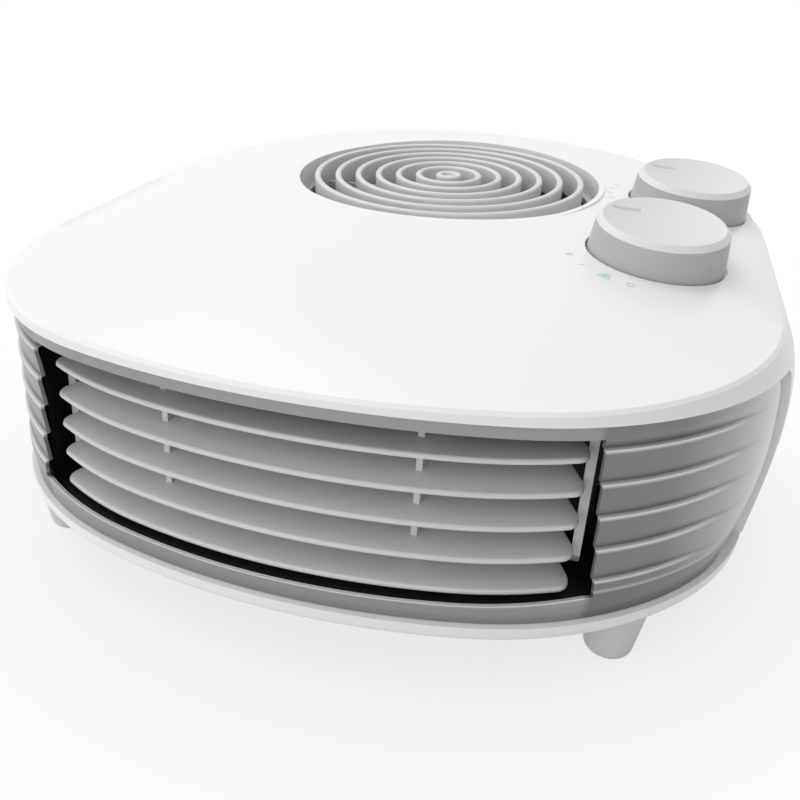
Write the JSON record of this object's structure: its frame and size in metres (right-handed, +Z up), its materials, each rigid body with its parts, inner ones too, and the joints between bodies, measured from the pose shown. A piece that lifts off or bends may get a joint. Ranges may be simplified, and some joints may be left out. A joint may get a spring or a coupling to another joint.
{
  "type": "ceramic fan heater",
  "caption": "Flat-lying fan heater: white crowned wedge housing, fluted silver front with a louvred outlet, round ringed intake on top and control knobs on the right.",
  "frame": {"origin": "middle of the floor area under the housing", "axes": "+X to the right seen from the front, +Y to the back, +Z up"},
  "size_m": [0.2598, 0.2577, 0.1182],
  "materials": {
    "housing_white": "smooth glossy white moulding",
    "grille_white": "satin light grey-white moulding",
    "knob_grey": "satin light grey moulding",
    "bezel_silver": "satin silver paint on a moulding",
    "louvre_grey": "satin grey moulding",
    "duct_black": "matt black heat-proof moulding",
    "foot_grey": "matt light grey moulding",
    "steel": "plain zinc-plated",
    "motor_steel": "drawn steel can",
    "inner_black": "matt black heat-proof moulding",
    "thermostat_body": "matt moulding",
    "aluminium": "bare sheet",
    "ceramic": "fired, unglazed",
    "fuse_body": "satin",
    "gland_rubber": "matt"
  },
  "bodies": {
    "housing": {"top_cover": "housing_white", "base_tray": "housing_white", "intake_grille": "grille_white", "front_bezel": "bezel_silver", "outlet_louvre": "louvre_grey", "outlet_surround": "duct_black", "foot_front_right": "foot_grey", "foot_rear_right": "foot_grey", "foot_front_left": "foot_grey", "foot_rear_left": "foot_grey", "case_screws": "steel", "bush_nuts": "steel", "motor_bracket": "steel", "bracket_screws": "steel", "overheat_cutout": "steel", "fan_motor": "motor_steel", "scroll_housing": "inner_black", "inlet_plate": "inner_black", "power_switch": "inner_black", "heater_frame": "inner_black", "room_thermostat": "thermostat_body", "terminal_block": "thermostat_body", "heater_fins": "aluminium", "electrodes": "aluminium", "ceramic_stones": "ceramic", "thermal_fuse": "fuse_body", "cord_gland": "gland_rubber"},
    "power_control": {"power_knob": "knob_grey", "power_spindle": "steel"},
    "thermostat_control": {"thermostat_knob": "knob_grey", "thermostat_spindle": "steel"},
    "blower": {"blower_wheel": "inner_black", "motor_shaft": "steel"}
  },
  "joints": [
    {"name": "power_turn", "type": "hinge", "parent": "housing", "child": "power_control", "pos_m": [0.0829, -0.0132, 0.09484], "axis": [0.0512, -0.2076, 0.9769], "range_deg": [-57, 0]},
    {"name": "thermostat_turn", "type": "hinge", "parent": "housing", "child": "thermostat_control", "pos_m": [0.0935, 0.051, 0.10257], "axis": [0.0512, -0.2076, 0.9769], "range_deg": [-270, 0]},
    {"name": "blower_spin", "type": "hinge", "parent": "housing", "child": "blower", "pos_m": [0, 0.0452, 0.05], "axis": [0, 0, 1], "continuous": true}
  ]
}
